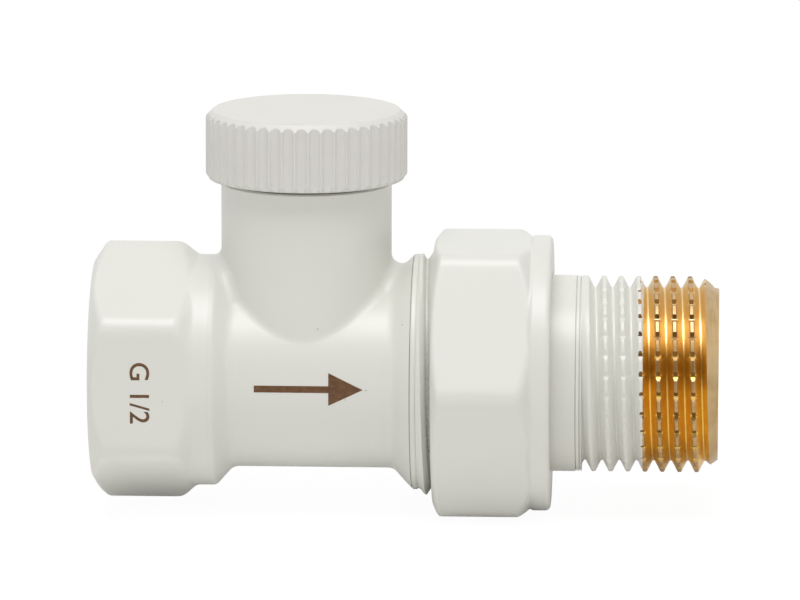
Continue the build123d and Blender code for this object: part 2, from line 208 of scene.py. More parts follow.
def makeBrassGroup():
    # turned brass: tool lines round the axis, tarnish in patches
    group, given, out = newGroup(
        "turnedBrass",
        [("Place", "NodeSocketVector", None), ("Colour", "NodeSocketColor", (0.8, 0.5, 0.12, 1)),
         ("Tarnish", "NodeSocketColor", (0.5, 0.25, 0.05, 1)), ("Base Roughness", "NodeSocketFloat", 0.25)],
        [("Colour", "NodeSocketColor"), ("Roughness", "NodeSocketFloat"), ("Height", "NodeSocketFloat")])
    split = addNode(group, "ShaderNodeSeparateXYZ")
    wire(group, given["Place"], split.inputs["Vector"])
    squashed = addNode(group, "ShaderNodeCombineXYZ")
    wire(group, mathNode(group, "MULTIPLY", split.outputs["X"], 14.0), squashed.inputs["X"])
    wire(group, split.outputs["Y"], squashed.inputs["Y"])
    wire(group, split.outputs["Z"], squashed.inputs["Z"])
    lines = noiseNode(group, squashed.outputs[0], 300, 3.0, 0.6)
    patches = mapRange(group, noiseNode(group, given["Place"], 260, 4.0, 0.6), 0.42, 0.75)
    lined = mapRange(group, lines, 0.4, 0.7)
    patched = mathNode(group, "MULTIPLY", patches, 0.65)
    dull = mathNode(group, "MULTIPLY_ADD", lined, 0.35, patched)
    wire(group, mixColour(group, dull, given["Colour"], given["Tarnish"]), out["Colour"])
    rough = mathNode(group, "MULTIPLY_ADD", patches, 0.12, given["Base Roughness"])
    wire(group, mathNode(group, "MULTIPLY_ADD", lines, 0.08, rough), out["Roughness"])
    wire(group, lines, out["Height"])
    return group


def makeEdgeGroup():
    # where the sprayed coat stops along the pipe: 0 under the coat, 1 on bare metal
    group, given, out = newGroup(
        "coatEdge",
        [("Place", "NodeSocketVector", None), ("Stop", "NodeSocketFloat", 0.0),
         ("Ragged", "NodeSocketFloat", 0.2 * mm)],
        [("Bare", "NodeSocketFloat")])
    softHalf = 0.03 * mm
    split = addNode(group, "ShaderNodeSeparateXYZ")
    wire(group, given["Place"], split.inputs["Vector"])
    ragged = mathNode(group, "SUBTRACT", noiseNode(group, given["Place"], 1500, 3.0, 0.7), 0.5)
    shifted = mathNode(group, "MULTIPLY_ADD", ragged, given["Ragged"], split.outputs["X"])
    past = mathNode(group, "SUBTRACT", shifted, given["Stop"])
    wire(group, mapRange(group, past, -softHalf, softHalf), out["Bare"])
    return group


coatGroup = makeCoatGroup()
brassGroup = makeBrassGroup()
edgeGroup = makeEdgeGroup()
print("shared effects made")

# finishes
coat = {
    "colour": (0.80, 0.796, 0.742, 1),
    "shade": (0.795, 0.790, 0.735, 1),
    "gloss": 0.36,
    "specks": 0.5,
    "peel": 0.0016 * mm,
    "edgeRound": 0.16 * mm,
}
# painted shade: a dark coat for the gap under the cap and the groove beside the lip
paintedGapShade = {
    "colour": (0.17, 0.16, 0.148, 1),
    "shade": (0.22, 0.21, 0.195, 1),
    "gloss": 0.55,
    "specks": 0.0,
    "peel": 0.0016 * mm,
    "edgeRound": 0.05 * mm,
}
capPlastic = {
    "colour": (0.775, 0.765, 0.72, 1),
    "shade": (0.755, 0.743, 0.695, 1),
    "gloss": 0.48,
    "grain": 0.012 * mm,
    "edgeRound": 0.22 * mm,
}
brass = {
    "colour": (0.87, 0.55, 0.12, 1),
    "tarnish": (0.64, 0.37, 0.08, 1),
    "roughness": 0.25,
    "lines": 0.003 * mm,
}
paleBrass = {
    "colour": (0.58, 0.42, 0.225, 1),
    "tarnish": (0.40, 0.26, 0.11, 1),
    "roughness": 0.28,
    "lines": 0.03 * mm,
}
# painted shade for the upper facet of each nick
nickShadeBrass = {
    "colour": (0.26, 0.13, 0.035, 1),
    "tarnish": (0.15, 0.07, 0.02, 1),
    "roughness": 0.42,
    "lines": 0.004 * mm,
}
wear = {
    "crestFade": (0.30 * mm, 0.12 * mm),      # depths under a crest where scuffs begin and are full
    "crestShare": 0.85,
    "scuffDark": (0.26, 0.13, 0.04, 1),
    "scuffPale": (0.74, 0.53, 0.30, 1),
    "scuffRoughness": 0.42,
    "paintedSheenHeights": (2.5 * mm, 6.0 * mm),      # painted sheen: bare brass is paler on the upper side, where the light from above falls
    "paintedSheenShare": 0.6,
    "paintedSheenColour": (0.74, 0.60, 0.38, 1),
    # painted shade in the grooves of the body's thread beside the nut, full on the lower side and faint on
    # the upper
    "paintedShadeDepth": 0.45 * mm,
    "paintedShadeStart": (34.55 * mm, 34.85 * mm),   # along the pipe
    "paintedShadeHeights": (-6.0 * mm, 8.0 * mm),    # full on the lower side, faint on the upper
    "paintedShadeAbove": 0.35,
    "paintedShadeColour": (0.25, 0.235, 0.215, 1),
}
rubber = {"dark": (0.014, 0.014, 0.015, 1), "pale": (0.030, 0.030, 0.031, 1), "grain": 0.01 * mm}
steel = {"dark": (0.48, 0.48, 0.49, 1), "pale": (0.62, 0.62, 0.63, 1)}
etched = {"dark": (0.10, 0.042, 0.012, 1), "pale": (0.20, 0.09, 0.028, 1)}


def coatedMaterial(name, settings):
    material, tree, shader, place = newMaterial(name)
    made = placeGroup(tree, coatGroup, Place=place, Colour=settings["colour"], Shade=settings["shade"],
                      Gloss=settings["gloss"], Specks=settings["specks"])
    wire(tree, made["Colour"], shader.inputs["Base Color"])
    wire(tree, made["Roughness"], shader.inputs["Roughness"])
    soft = addNode(tree, "ShaderNodeBevel", samples=6)
    soft.inputs["Radius"].default_value = settings["edgeRound"]
    peel = bumpNode(tree, made["Height"], settings["peel"], 1.0, soft.outputs["Normal"])
    wire(tree, peel, shader.inputs["Normal"])
    shader.inputs["IOR"].default_value = 1.5
    return material


def brassMaterial(name, settings):
    material, tree, shader, place = newMaterial(name)
    made = placeGroup(tree, brassGroup, Place=place, Colour=settings["colour"], Tarnish=settings["tarnish"],
                      Base_Roughness=settings["roughness"])
    wire(tree, made["Colour"], shader.inputs["Base Color"])
    wire(tree, made["Roughness"], shader.inputs["Roughness"])
    wire(tree, bumpNode(tree, made["Height"], settings["lines"]), shader.inputs["Normal"])
    shader.inputs["Metallic"].default_value = 1.0
    return material


def halfCoatedMaterial(name, stop, crestRadius, paintedShadeRadius=0.0):
    # coat up to a stop along the pipe, bare brass with scuffed crests beyond it, painted shade under a
    # radius, and a painted sheen that pales the bare brass on the upper side
    material, tree, shader, place = newMaterial(name)
    paint = placeGroup(tree, coatGroup, Place=place, Colour=coat["colour"], Shade=coat["shade"],
                       Gloss=coat["gloss"], Specks=coat["specks"])
    metal = placeGroup(tree, brassGroup, Place=place, Colour=brass["colour"], Tarnish=brass["tarnish"],
                       Base_Roughness=brass["roughness"])
    bare = placeGroup(tree, edgeGroup, Place=place, Stop=stop)["Bare"]
    split = addNode(tree, "ShaderNodeSeparateXYZ")
    wire(tree, place, split.inputs["Vector"])
    along, across, height = split.outputs
    squared = mathNode(tree, "MULTIPLY", across, across)
    radius = mathNode(tree, "SQRT", mathNode(tree, "MULTIPLY_ADD", height, height, squared))
    fadeStart, fadeEnd = wear["crestFade"]
    crest = mapRange(tree, radius, crestRadius - fadeStart, crestRadius - fadeEnd,
                     0.0, wear["crestShare"], True)
    scuff = mixColour(tree, noiseNode(tree, place, 2600, 3.0, 0.7), wear["scuffDark"], wear["scuffPale"])
    # painted sheen: the bare brass pales towards the upper side, where the light falls
    paintedSheen = mapRange(tree, height, *wear["paintedSheenHeights"], 0.0, wear["paintedSheenShare"], True)
    sheenedMetal = mixColour(tree, paintedSheen, metal["Colour"], wear["paintedSheenColour"])
    metalColour = mixColour(tree, crest, sheenedMetal, scuff)
    metalRough = mixValue(tree, crest, metal["Roughness"], wear["scuffRoughness"])
    # painted shade: the coat darkens in the thread's grooves below a radius, more on the lower side
    paintedShade = mapRange(tree, radius, paintedShadeRadius - wear["paintedShadeDepth"], paintedShadeRadius, 1.0, 0.0, True)
    paintedShade = mathNode(tree, "MULTIPLY", paintedShade, mapRange(tree, along, *wear["paintedShadeStart"]))
    sides = mapRange(tree, height, *wear["paintedShadeHeights"], 1.0, wear["paintedShadeAbove"])
    paintedShade = mathNode(tree, "MULTIPLY", paintedShade, sides)
    grain = mapRange(tree, noiseNode(tree, place, 3000, 3.0, 0.7), 0.3, 0.7, 0.4, 0.9)
    paintedShade = mathNode(tree, "MULTIPLY", paintedShade, grain)
    paintColour = mixColour(tree, paintedShade, paint["Colour"], wear["paintedShadeColour"])
    wire(tree, mixColour(tree, bare, paintColour, metalColour), shader.inputs["Base Color"])
    wire(tree, mixValue(tree, bare, paint["Roughness"], metalRough), shader.inputs["Roughness"])
    wire(tree, bare, shader.inputs["Metallic"])
    wire(tree, bumpNode(tree, paint["Height"], coat["peel"]), shader.inputs["Normal"])
    return material


def plasticMaterial(name, settings):
    material, tree, shader, place = newMaterial(name)
    made = placeGroup(tree, coatGroup, Place=place, Colour=settings["colour"], Shade=settings["shade"],
                      Gloss=settings["gloss"], Specks=0.0)
    wire(tree, made["Colour"], shader.inputs["Base Color"])
    wire(tree, made["Roughness"], shader.inputs["Roughness"])
    soft = addNode(tree, "ShaderNodeBevel", samples=6)
    soft.inputs["Radius"].default_value = settings["edgeRound"]
    grain = noiseNode(tree, place, 5200, 2.0, 0.6)
    rough = bumpNode(tree, grain, settings["grain"], 0.5, soft.outputs["Normal"])
    wire(tree, rough, shader.inputs["Normal"])
    return material


def rubberMaterial(name):
    material, tree, shader, place = newMaterial(name)
    mottle = noiseNode(tree, place, 1800, 4.0, 0.6)
    wire(tree, mixColour(tree, mottle, rubber["dark"], rubber["pale"]), shader.inputs["Base Color"])
    wire(tree, mathNode(tree, "MULTIPLY_ADD", mottle, 0.2, 0.45), shader.inputs["Roughness"])
    wire(tree, bumpNode(tree, mottle, rubber["grain"], 0.4), shader.inputs["Normal"])
    return material


def steelMaterial(name):
    material, tree, shader, place = newMaterial(name)
    streak = noiseNode(tree, place, 2400, 3.0, 0.6)
    wire(tree, mixColour(tree, streak, steel["dark"], steel["pale"]), shader.inputs["Base Color"])
    wire(tree, mathNode(tree, "MULTIPLY_ADD", streak, 0.15, 0.22), shader.inputs["Roughness"])
    shader.inputs["Metallic"].default_value = 1.0
    return material


def etchedMaterial(name):
    material, tree, shader, place = newMaterial(name)
    burn = noiseNode(tree, place, 2200, 4.0, 0.65)
    burnt = mixColour(tree, mapRange(tree, burn, 0.3, 0.7), etched["dark"], etched["pale"])
    wire(tree, burnt, shader.inputs["Base Color"])
    wire(tree, mathNode(tree, "MULTIPLY_ADD", burn, 0.2, 0.42), shader.inputs["Roughness"])
    return material


coatStop = 58.05 * mm      # where the sprayed coat ends on the tail's thread
nutShadowStop = 36.8 * mm  # the nut kept the spray off the body's thread beyond this

whiteCoat = coatedMaterial("white_coat", coat)
gapShadeCoat = coatedMaterial("gap_shade_coat", paintedGapShade)
whiteCap = plasticMaterial("cap_plastic", capPlastic)
bareBrass = brassMaterial("bare_brass", brass)
facedBrass = brassMaterial("faced_brass", paleBrass)
nickShadeMaterial = brassMaterial("nick_shade_brass", nickShadeBrass)
blackRubber = rubberMaterial("black_rubber")
springSteel = steelMaterial("spring_steel")
etchedMark = etchedMaterial("etched_mark")
print("finishes made")


# helical threads
def interpolate(points, value):
    for (low, first), (high, second) in zip(points, points[1:]):
        if value <= high:
            return first + (second - first) * (value - low) / (high - low)
    return points[-1][1]


def threadSkin(settings):
    # points and faces of a closed ring whose outer (or inner) side is a screw thread;
    # stations follow the helix, so crest and root edges stay crisp
    along, across, up, origin = settings["axes"]
    pitch, start, end = settings["pitch"], settings["start"], settings["end"]
    form = settings["form"]                # share of a pitch from the crest's middle, and radius
    angles = settings["angles"]
    perTurn = len(form) - 1                # the form's last point is the next turn's first
    firstTurn = math.floor((start - settings["crest"]) / pitch) - 2
    turnCount = math.ceil((end - start) / pitch) + 4
    shares = [turn + share for turn in range(turnCount + 1) for share, _ in form[:-1]]
    stationCount = len(shares)
    rows = []
    for angle in angles:
        lead = settings["crest"] + pitch * (firstTurn + angle / math.tau)
        direction = across * math.cos(angle) + up * math.sin(angle)
        row = []
        for share in shares:
            place = min(max(lead + pitch * share, start), end)
            turnShare = (place - lead) / pitch
            radius = interpolate(form, turnShare - math.floor(turnShare + 0.5))
            radius = settings["limit"](place, angle, radius)
            row.append(origin + along * place + direction * radius)
        back = settings["back"]
        row.append(origin + along * end + direction * back)
        row.append(origin + along * start + direction * back)
        rows.append(row)
    length = stationCount + 2
    points = [point for row in rows for point in row]

    def corner(column, station):
        if column < len(angles):
            return column * length + station
        if station >= stationCount:
            return station                 # the plain back closes on the first column
        return min(station + perTurn, stationCount - 1)

    faces = []
    for column in range(len(angles)):
        for station in range(length):
            after = (station + 1) % length
            face = (corner(column, station), corner(column, after),
                    corner(column + 1, after), corner(column + 1, station))
            faces.append(face)
    return points, faces


def evenAngles(count):
    return [math.tau * step / count for step in range(count)]


def noLimit(place, angle, radius):
    return radius


def meshPiece(name, points, faces, materials, sharpAngle=28):
    mesh = bpy.data.meshes.new(name)
    mesh.from_pydata([tuple(point) for point in points], [], faces)
    work = bmesh.new()
    work.from_mesh(mesh)
    bmesh.ops.remove_doubles(work, verts=work.verts, dist=1e-7)
    bmesh.ops.dissolve_degenerate(work, edges=work.edges, dist=1e-7)
    bmesh.ops.recalc_face_normals(work, faces=work.faces)
    work.to_mesh(mesh)
    work.free()
    for material in materials:
        mesh.materials.append(material)
    mesh.shade_smooth()
    mesh.set_sharp_from_angle(angle=math.radians(sharpAngle))
    piece = bpy.data.objects.new(name, mesh)
    scene.collection.objects.link(piece)
    return piece


def threadPiece(name, settings, materials, finish=0):
    points, faces = threadSkin(settings)
    made = meshPiece(name, points, faces, materials)
    for polygon in made.data.polygons:
        polygon.material_index = finish
    return made


def joinInto(target, *others):
    # one physical piece is one object
    bpy.ops.object.select_all(action="DESELECT")
    for piece in (target, *others):
        piece.select_set(True)
    bpy.context.view_layer.objects.active = target
    bpy.ops.object.join()
    return target


pipePitch = 25.4 * mm / 14        # both pipe threads have 14 turns to the inch
unionCrestPlace = 35.65 * mm      # middle of a crest of the body's union thread on the far side


def pipeForm(crest, root, crestFlat=0.10, rootFlat=0.10, ring=0.5):
    # one pitch of a pipe thread, measured from the crest's middle, with lightly rounded corners
    # and one more ring on each flank at a share of its depth
    drop = crest - root
    ease = 0.04       # length of a rounded corner, as a share of the pitch
    dip = 0.07        # its depth, as a share of the thread's depth
    half = 0.5
    high = crestFlat / 2 + ease
    low = half - rootFlat / 2 - ease
    between = high + (low - high) * (ring - dip) / (1 - 2 * dip)
    after = [(crestFlat / 2, crest), (high, crest - dip * drop), (between, crest - ring * drop),
             (low, root + dip * drop), (half - rootFlat / 2, root), (half, root)]
    before = [(-share, radius) for share, radius in reversed(after)]
    return before + after


# soft outlines of hexagons, as a thick coat leaves them
def softMin(first, second, soft):
    share = min(max(0.5 + 0.5 * (second - first) / soft, 0.0), 1.0)
    return second + (first - second) * share - soft * share * (1 - share)


def smoothStep(low, high, value):
    share = min(max((value - low) / (high - low), 0.0), 1.0)
    return share * share * (3 - 2 * share)


def hexagonRadius(angle, half, cornerRadius, firstFlat):
    # distance to a hexagon with rounded corners, half across flats given
    off = (angle - firstFlat + math.pi / 6) % (math.pi / 3) - math.pi / 6
    middle = (half - cornerRadius) / math.cos(math.pi / 6)
    tangent = math.atan((half - cornerRadius) * math.tan(math.pi / 6) / half)
    if abs(off) <= tangent:
        return half / math.cos(off)
    fromCorner = math.pi / 6 - abs(off)
    beyond = math.sqrt(cornerRadius ** 2 - (middle * math.sin(fromCorner)) ** 2)
    return middle * math.cos(fromCorner) + beyond


def ringSkin(places, radiusAt, tailPoints, angles):
    # closed ring: an outer side given by a radius at each place and angle, and a plain inner side
    points, faces = [], []
    length = len(places) + len(tailPoints)
    for angle in angles:
        profile = [(place, radiusAt(place, angle)) for place in places] + tailPoints
        points += [(place, radius * math.cos(angle), radius * math.sin(angle)) for place, radius in profile]
    for column in range(len(angles)):
        after = (column + 1) % len(angles)
        for step in range(length):
            follow = (step + 1) % length
            faces.append((column * length + step, column * length + follow,
                          after * length + follow, after * length + step))
    return points, faces


def linedRing(name, lines, back, columns, materials):
    # a narrow ring with fine turned lines, given as places and radii
    closing = [(lines[-1][0], back), (lines[0][0], back)]
    points, faces = ringSkin([place for place, _ in lines], lambda place, angle: interpolate(lines, place),
                             closing, evenAngles(columns))
    return meshPiece(name, points, faces, materials)


# tail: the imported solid's own nose, flange, neck and bore, with a real thread in place of its blank
tail = {
    "crest": 10.34 * mm,
    "root": 9.14 * mm,
    "crestFlat": 0.16,          # flats as shares of the pitch
    "rootFlat": 0.09,
    "flankRing": 0.28,
    "crestPlace": 53.37 * mm,   # middle of a crest on the far side, where the angle is 0
    "start": tailEnd - 14.45 * mm,
    "neckLines": [(50.95 * mm, 10.20 * mm), (50.97 * mm, 10.14 * mm), (51.02 * mm, 10.14 * mm),
                  (51.06 * mm, 10.30 * mm), (51.36 * mm, 10.30 * mm), (51.40 * mm, 10.14 * mm),
                  (51.45 * mm, 10.14 * mm), (51.49 * mm, 10.33 * mm), (51.60 * mm, 10.33 * mm)],
    "back": 8.54 * mm,
    "backGap": 0.05 * mm,       # the solid's copy stands this far out of the thread's back
    "endGap": 0.004 * mm,
    "endRadius": 9.0 * mm,
    "endChamfer": 1.89 * mm,
    "facedLength": 1.0 * mm,    # pale faced metal at the end, and near the chamfer's cone
    "facedNear": 0.04 * mm,
    "sprayedRadius": 9.0 * mm,  # the coat lies outside this, from the nut's lip on
    "sprayedFrom": 2.6 * mm,
    "nickCount": 30,
    "nickTurn": math.radians(170.1),
    "nickDepth": 0.32 * mm,
    "nickHalf": math.radians(2.7),
    "nickEdge": 0.03 * mm,
    "nickShadeFrom": 0.5 * mm,   # painted shade on the upper facet of each bare nick starts this far before the coat's end
    "coatFill": 0.75,           # the coat fills part of each nick under it
    "plainUntil": 54.0 * mm,    # the first turn was left without nicks
    "runOut": (0.32, 0.70),     # turns over which the first groove gets its depth
}
endSlope = (tail["crest"] - tail["endRadius"]) / tail["endChamfer"]


def nickOffset(angle):
    # turn from the nearest nick's middle; on the front a smaller angle is higher
    step = math.tau / tail["nickCount"]
    return (angle - tail["nickTurn"] + step / 2) % step - step / 2


def tailLimit(place, angle, radius):
    firstGroove = tail["crestPlace"] - 1.5 * pipePitch
    turn = math.floor((place - firstGroove) / pipePitch - angle / math.tau + 0.5) + angle / math.tau
    shallow, deep = tail["runOut"]
    depthShare = min(max((turn - shallow) / (deep - shallow), 0.0), 1.0)
    radius = min(tail["crest"], tail["crest"] - (tail["crest"] - radius) * depthShare)
    radius = min(radius, tail["endRadius"] + (tailEnd - place) * endSlope)
    if place > tail["plainUntil"] + pipePitch * (angle - math.pi) / math.tau:
        off = nickOffset(angle)
        depth = tail["nickDepth"] if place > coatStop else tail["nickDepth"] * tail["coatFill"]
        radius = min(radius, tail["crest"] - depth * max(0.0, 1 - abs(off) / tail["nickHalf"]))
    return radius


def nickAngles():
    # columns gathered round each nick
    step = 360 / tail["nickCount"]
    offsets = (-2.7, -1.9, -1.0, -0.3, 0.3, 1.0, 1.9, 2.7, 4.3, 6.0, 7.7)
    base = math.degrees(tail["nickTurn"])
    return sorted(math.radians((base + step * nick + offset) % 360)
                  for nick in range(tail["nickCount"]) for offset in offsets)


def copyNode(name, piece):
    made = bpy.data.objects.new(piece, nodes[name].data.copy())
    scene.collection.objects.link(made)
    made.data.materials.clear()
    return made


def pullIn(mesh, axes, radius, chosen):
    # brings chosen vertices in to a radius, so that a thread can stand on what is left
    along, across, up, origin = axes
    for vertex in mesh.vertices:
        offset = vertex.co - origin
        place = offset.dot(along)
        out = offset - along * place
        if out.length > radius and chosen(place, out.length):
            vertex.co = origin + along * place + out * (radius / out.length)


threadedTail = copyNode("tail_piece", "threaded_tail")
neckEnd = tail["neckLines"][0][0]
closeTo = 0.02 * mm             # allowance when faces and vertices are picked by their place
pullIn(threadedTail.data, pipeAxes, tail["back"] + tail["backGap"],
       lambda place, radius: place > neckEnd + closeTo)
tailCoat = halfCoatedMaterial("tail_coat", coatStop, tail["crest"])
tailMaterials = [tailCoat, bareBrass, facedBrass, nickShadeMaterial]
for material in tailMaterials:
    threadedTail.data.materials.append(material)
for polygon in threadedTail.data.polygons:
    middle = polygon.center
    outside = math.hypot(middle.y, middle.z) > tail["sprayedRadius"]
    outside = outside and middle.x > nutHigh.x - tail["sprayedFrom"]
    polygon.material_index = 0 if outside else 1
    if middle.x > tailEnd - closeTo:
        polygon.material_index = 2
tailForm = pipeForm(tail["crest"], tail["root"], tail["crestFlat"], tail["rootFlat"], tail["flankRing"])
tailThread = threadPiece("tail_thread", {
    "axes": pipeAxes, "pitch": pipePitch, "start": tail["start"], "end": tailEnd - tail["endGap"],
    "crest": tail["crestPlace"], "form": tailForm, "angles": nickAngles(), "limit": tailLimit,
    "back": tail["back"]}, tailMaterials)
nickFloor = tail["crest"] - tail["nickDepth"] - tail["nickEdge"]
nickTop = tail["crest"] - tail["nickEdge"]
for polygon in tailThread.data.polygons:
    middle = polygon.center
    edge = tail["endRadius"] + (tailEnd - middle.x) * endSlope
    radius = math.hypot(middle.y, middle.z)
    facesOut = abs(polygon.normal.x) < 0.5
    if abs(radius - edge) < tail["facedNear"] or middle.x > tailEnd - tail["facedLength"]:
        polygon.material_index = 2
    elif middle.x > coatStop - tail["nickShadeFrom"] and facesOut and nickFloor < radius < nickTop:
        # painted shade: the upper facet of each nick gets the dark brass
        if -tail["nickHalf"] < nickOffset(math.atan2(middle.z, middle.y)) < 0:
            polygon.material_index = 3
neckRing = linedRing("neck_lines", tail["neckLines"], tail["back"], 180, tailMaterials)
joinInto(threadedTail, tailThread, neckRing)
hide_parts("tail_piece")
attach(threadedTail, "tail")
print("tail made:", len(threadedTail.data.polygons), "faces")

# union nut: six flats under a soft coat, a round collar, a lip behind it and a female thread
nut = {
    "halfAcross": 14.1 * mm,
    "cornerRadius": 2.22 * mm,
    "faceRadius": 13.95 * mm,
    "mouthSlope": 0.33,
    "collarRadius": nutHigh.z,
    "collarSlope": 0.7,
    "collarLength": 2.2 * mm,
    "collarEdge": 0.55 * mm,
    "bore": 13.18 * mm,
    "mouthChamfer": 0.45 * mm,
    "sprayed": 1.0 * mm,        # how far the spray went into the mouth
    "lipBore": 10.65 * mm,
    "lip": 2.5 * mm,
    "mouthSoft": 1.0 * mm,
    "collarSoft": 0.6 * mm,
    "collarFillet": 0.35 * mm,
    "collarRise": (0.9 * mm, 0.4 * mm),   # before and after the hexagon's end
    "collarRamp": 1.4 * mm,
    "lipChamfer": 0.2 * mm,
    "threadCrest": 12.12 * mm,
    "threadStart": 1.0 * mm,
    "threadEnd": 0.6 * mm,
    "threadTaper": 0.3 * mm,
    "threadBack": 0.25 * mm,
    "threadGap": 0.01 * mm,
}
hexEnd = nutHigh.x - nut["collarLength"]


def nutRadius(place, angle):
    flats = hexagonRadius(angle, nut["halfAcross"], nut["cornerRadius"], math.pi / 2)
    mouth = nut["faceRadius"] + (place - nutLow.x) / nut["mouthSlope"]
    back = nut["collarRadius"] + (hexEnd - place) / nut["collarSlope"]
    radius = softMin(softMin(flats, mouth, nut["mouthSoft"]), back, nut["collarSoft"])
    before, after = nut["collarRise"]
    rise = smoothStep(hexEnd - before, hexEnd + after, place)
    ramp = nut["collarRadius"] - (1 - rise) * nut["collarRamp"]
    radius = -softMin(-radius, -ramp, nut["collarFillet"])
    past = place - (nutHigh.x - nut["collarEdge"])
    if past > 0:
        drop = nut["collarEdge"] - math.sqrt(max(nut["collarEdge"] ** 2 - past ** 2, 0.0))
        radius = min(radius, nut["collarRadius"] - drop)
    return min(radius, nut["collarRadius"]) if place > hexEnd else radius


def makeNut():
    fromMouth = (0, 0.04, 0.09, 0.15, 0.22, 0.3, 0.4, 0.52, 0.66, 0.82, 1.0, 1.3, 2.0, 3.5, 5.0, 6.5, 7.6)
    toCollar = (-1.6, -1.3, -1.1, -0.95, -0.8, -0.65, -0.5, -0.38, -0.26, -0.15, -0.05,
                0.05, 0.15, 0.27, 0.4, 1.0)
    toEnd = (0.55, 0.42, 0.3, 0.2, 0.12, 0.06, 0.02, 0.0)
    places = [nutLow.x + step * mm for step in fromMouth] + [hexEnd + step * mm for step in toCollar]
    places += [nutHigh.x - step * mm for step in toEnd]
    lipPlace = nutHigh.x - nut["lip"]
    inner = [(nutHigh.x, nut["lipBore"] + nut["lipChamfer"]), (nutHigh.x - nut["lipChamfer"], nut["lipBore"]),
             (lipPlace, nut["lipBore"]), (lipPlace, nut["bore"]), (nutLow.x + nut["sprayed"], nut["bore"]),
             (nutLow.x + nut["mouthChamfer"], nut["bore"]), (nutLow.x, nut["bore"] + nut["mouthChamfer"])]
    points, faces = ringSkin(places, nutRadius, inner, evenAngles(288))
    made = meshPiece("union_nut_coated", points, faces, [whiteCoat, bareBrass], 40)
    for polygon in made.data.polygons:
        middle = polygon.center
        inside = math.hypot(middle.y, middle.z) < nut["bore"] + closeTo
        inside = inside and nutLow.x + nut["sprayed"] < middle.x < nutHigh.x - nut["lipChamfer"]
        polygon.material_index = 1 if inside else 0
    thread = threadPiece("nut_thread", {
        "axes": pipeAxes, "pitch": pipePitch, "start": nutLow.x + nut["threadStart"],
        "end": lipPlace - nut["threadEnd"], "crest": unionCrestPlace + pipePitch / 2,
        "form": pipeForm(nut["threadCrest"], nut["bore"] + nut["threadGap"]), "angles": evenAngles(144),
        "limit": nutThreadLimit, "back": nut["bore"] + nut["threadBack"]}, [whiteCoat, bareBrass], 1)
    return joinInto(made, thread)


def nutThreadLimit(place, angle, radius):
    # the mouth's chamfer takes the first crests down
    return max(radius, nut["bore"] + nut["threadTaper"] - (place - nutLow.x))


coatedNut = makeNut()
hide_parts("union_nut")
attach(coatedNut, "union_nut")
print("nut made:", len(coatedNut.data.polygons), "faces")

# body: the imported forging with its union, nipple and inlet threads
body = {
    "unionCrest": 13.02 * mm,
    "unionRoot": 11.95 * mm,
    "unionStart": 34.38 * mm,
    "runIn": (34.3 * mm, 12.35 * mm, 0.8),        # place, radius and slope at which the first crest rises
    "runInFloor": (34.55 * mm, 12.32 * mm, 1.6),  # and at which the first groove gets its depth
    # painted shade darkens the coat in the union thread's grooves under this radius
    "paintedShadeRadius": 12.5 * mm,
    "lipLines": [(33.83 * mm, 12.45 * mm), (34.22 * mm, 12.45 * mm), (34.27 * mm, 12.42 * mm),
                 (34.33 * mm, 12.36 * mm), (34.42 * mm, 12.32 * mm), (34.50 * mm, 12.10 * mm)],
    "unionEndChamfer": 0.9 * mm,
    "nippleCrest": 8.31 * mm,
    "nippleRoot": 7.75 * mm,
    "nippleHeight": 4.4 * mm,
    "nippleFlat": 0.14,
    "nippleChamfer": 0.5 * mm,
    "nippleZone": 8.6 * mm,     # the nipple and the tower's top face lie inside this
    "nipplePitch": 1.0 * mm,
    "inletRoot": 10.49 * mm,
    "inletCrest": 9.36 * mm,
    "inletStart": 0.75 * mm,
    "inletEnd": 10.9 * mm,
    "inletBack": 0.2 * mm,
    "threadBack": 0.3 * mm,
    "lipBack": 0.4 * mm,
    "nippleGap": 0.05 * mm,     # how far the solid's copy lies under the nipple's thread,
    "unionGap": 0.1 * mm,       # the union's thread
    "mouthGap": 0.12 * mm,      # and the skin at the inlet's mouth
    "hexHalf": 12.25 * mm,
    "hexCorner": 2.5 * mm,
    "hexEndRadius": 11.55 * mm,
    "hexEndSlope": 1.58,        # radius gained for each millimetre of the end chamfer
    "hexSoft": 0.10 * mm,
    "cornerSoft": 0.3,          # more where the corners stand out
    "shoulder": (8.5 * mm, 11.2 * mm),
    "shoulderSoft": 0.8 * mm,
    "shoulderDrop": 2.1 * mm,
    "collarRadius": 12.2 * mm,
    "collarProud": 0.005 * mm,  # what stands further out than this belongs to the flats
    "collarFrom": 10.0 * mm,
    "hexZone": 11.0 * mm,       # the flats and their shoulder end before this
    "mouthZone": 1.7 * mm,
    "skinEnd": 12.6 * mm,
    "skinInner": (0.03 * mm, 11.3 * mm),
    "skinLift": 0.006 * mm,
    "skinSink": 0.018 * mm,     # the skin dips under the collar's own surface towards its end
    "sinkFrom": 10.8 * mm,
    "rimDrop": 0.24 * mm,       # the tower's top edge is turned down under the cap
    "rimBand": (8.5 * mm, 8.8 * mm),
    "rimAbove": 20.5 * mm,
    "capGap": (20.3 * mm, 20.7 * mm),           # heights of the land under the cap that gets painted shade
    "lipGroove": 12.33 * mm,    # radius of a fine groove beside the lip
    "grooveSpan": (33.70 * mm, 33.79 * mm),
    "grooveLine": (33.705 * mm, 33.785 * mm),   # the part of it that gets painted shade
    "grooveEdge": 12.2 * mm,
    "inletBore": (11.1 * mm, 11.15 * mm),       # how far each bore reaches, and its radius
    "outletBore": (39.0 * mm, 11.7 * mm),
    "runBore": 9.9 * mm,
    "towerBore": (9.5 * mm, 7.2 * mm),
}
nippleFoot = nippleTop - body["nippleHeight"]


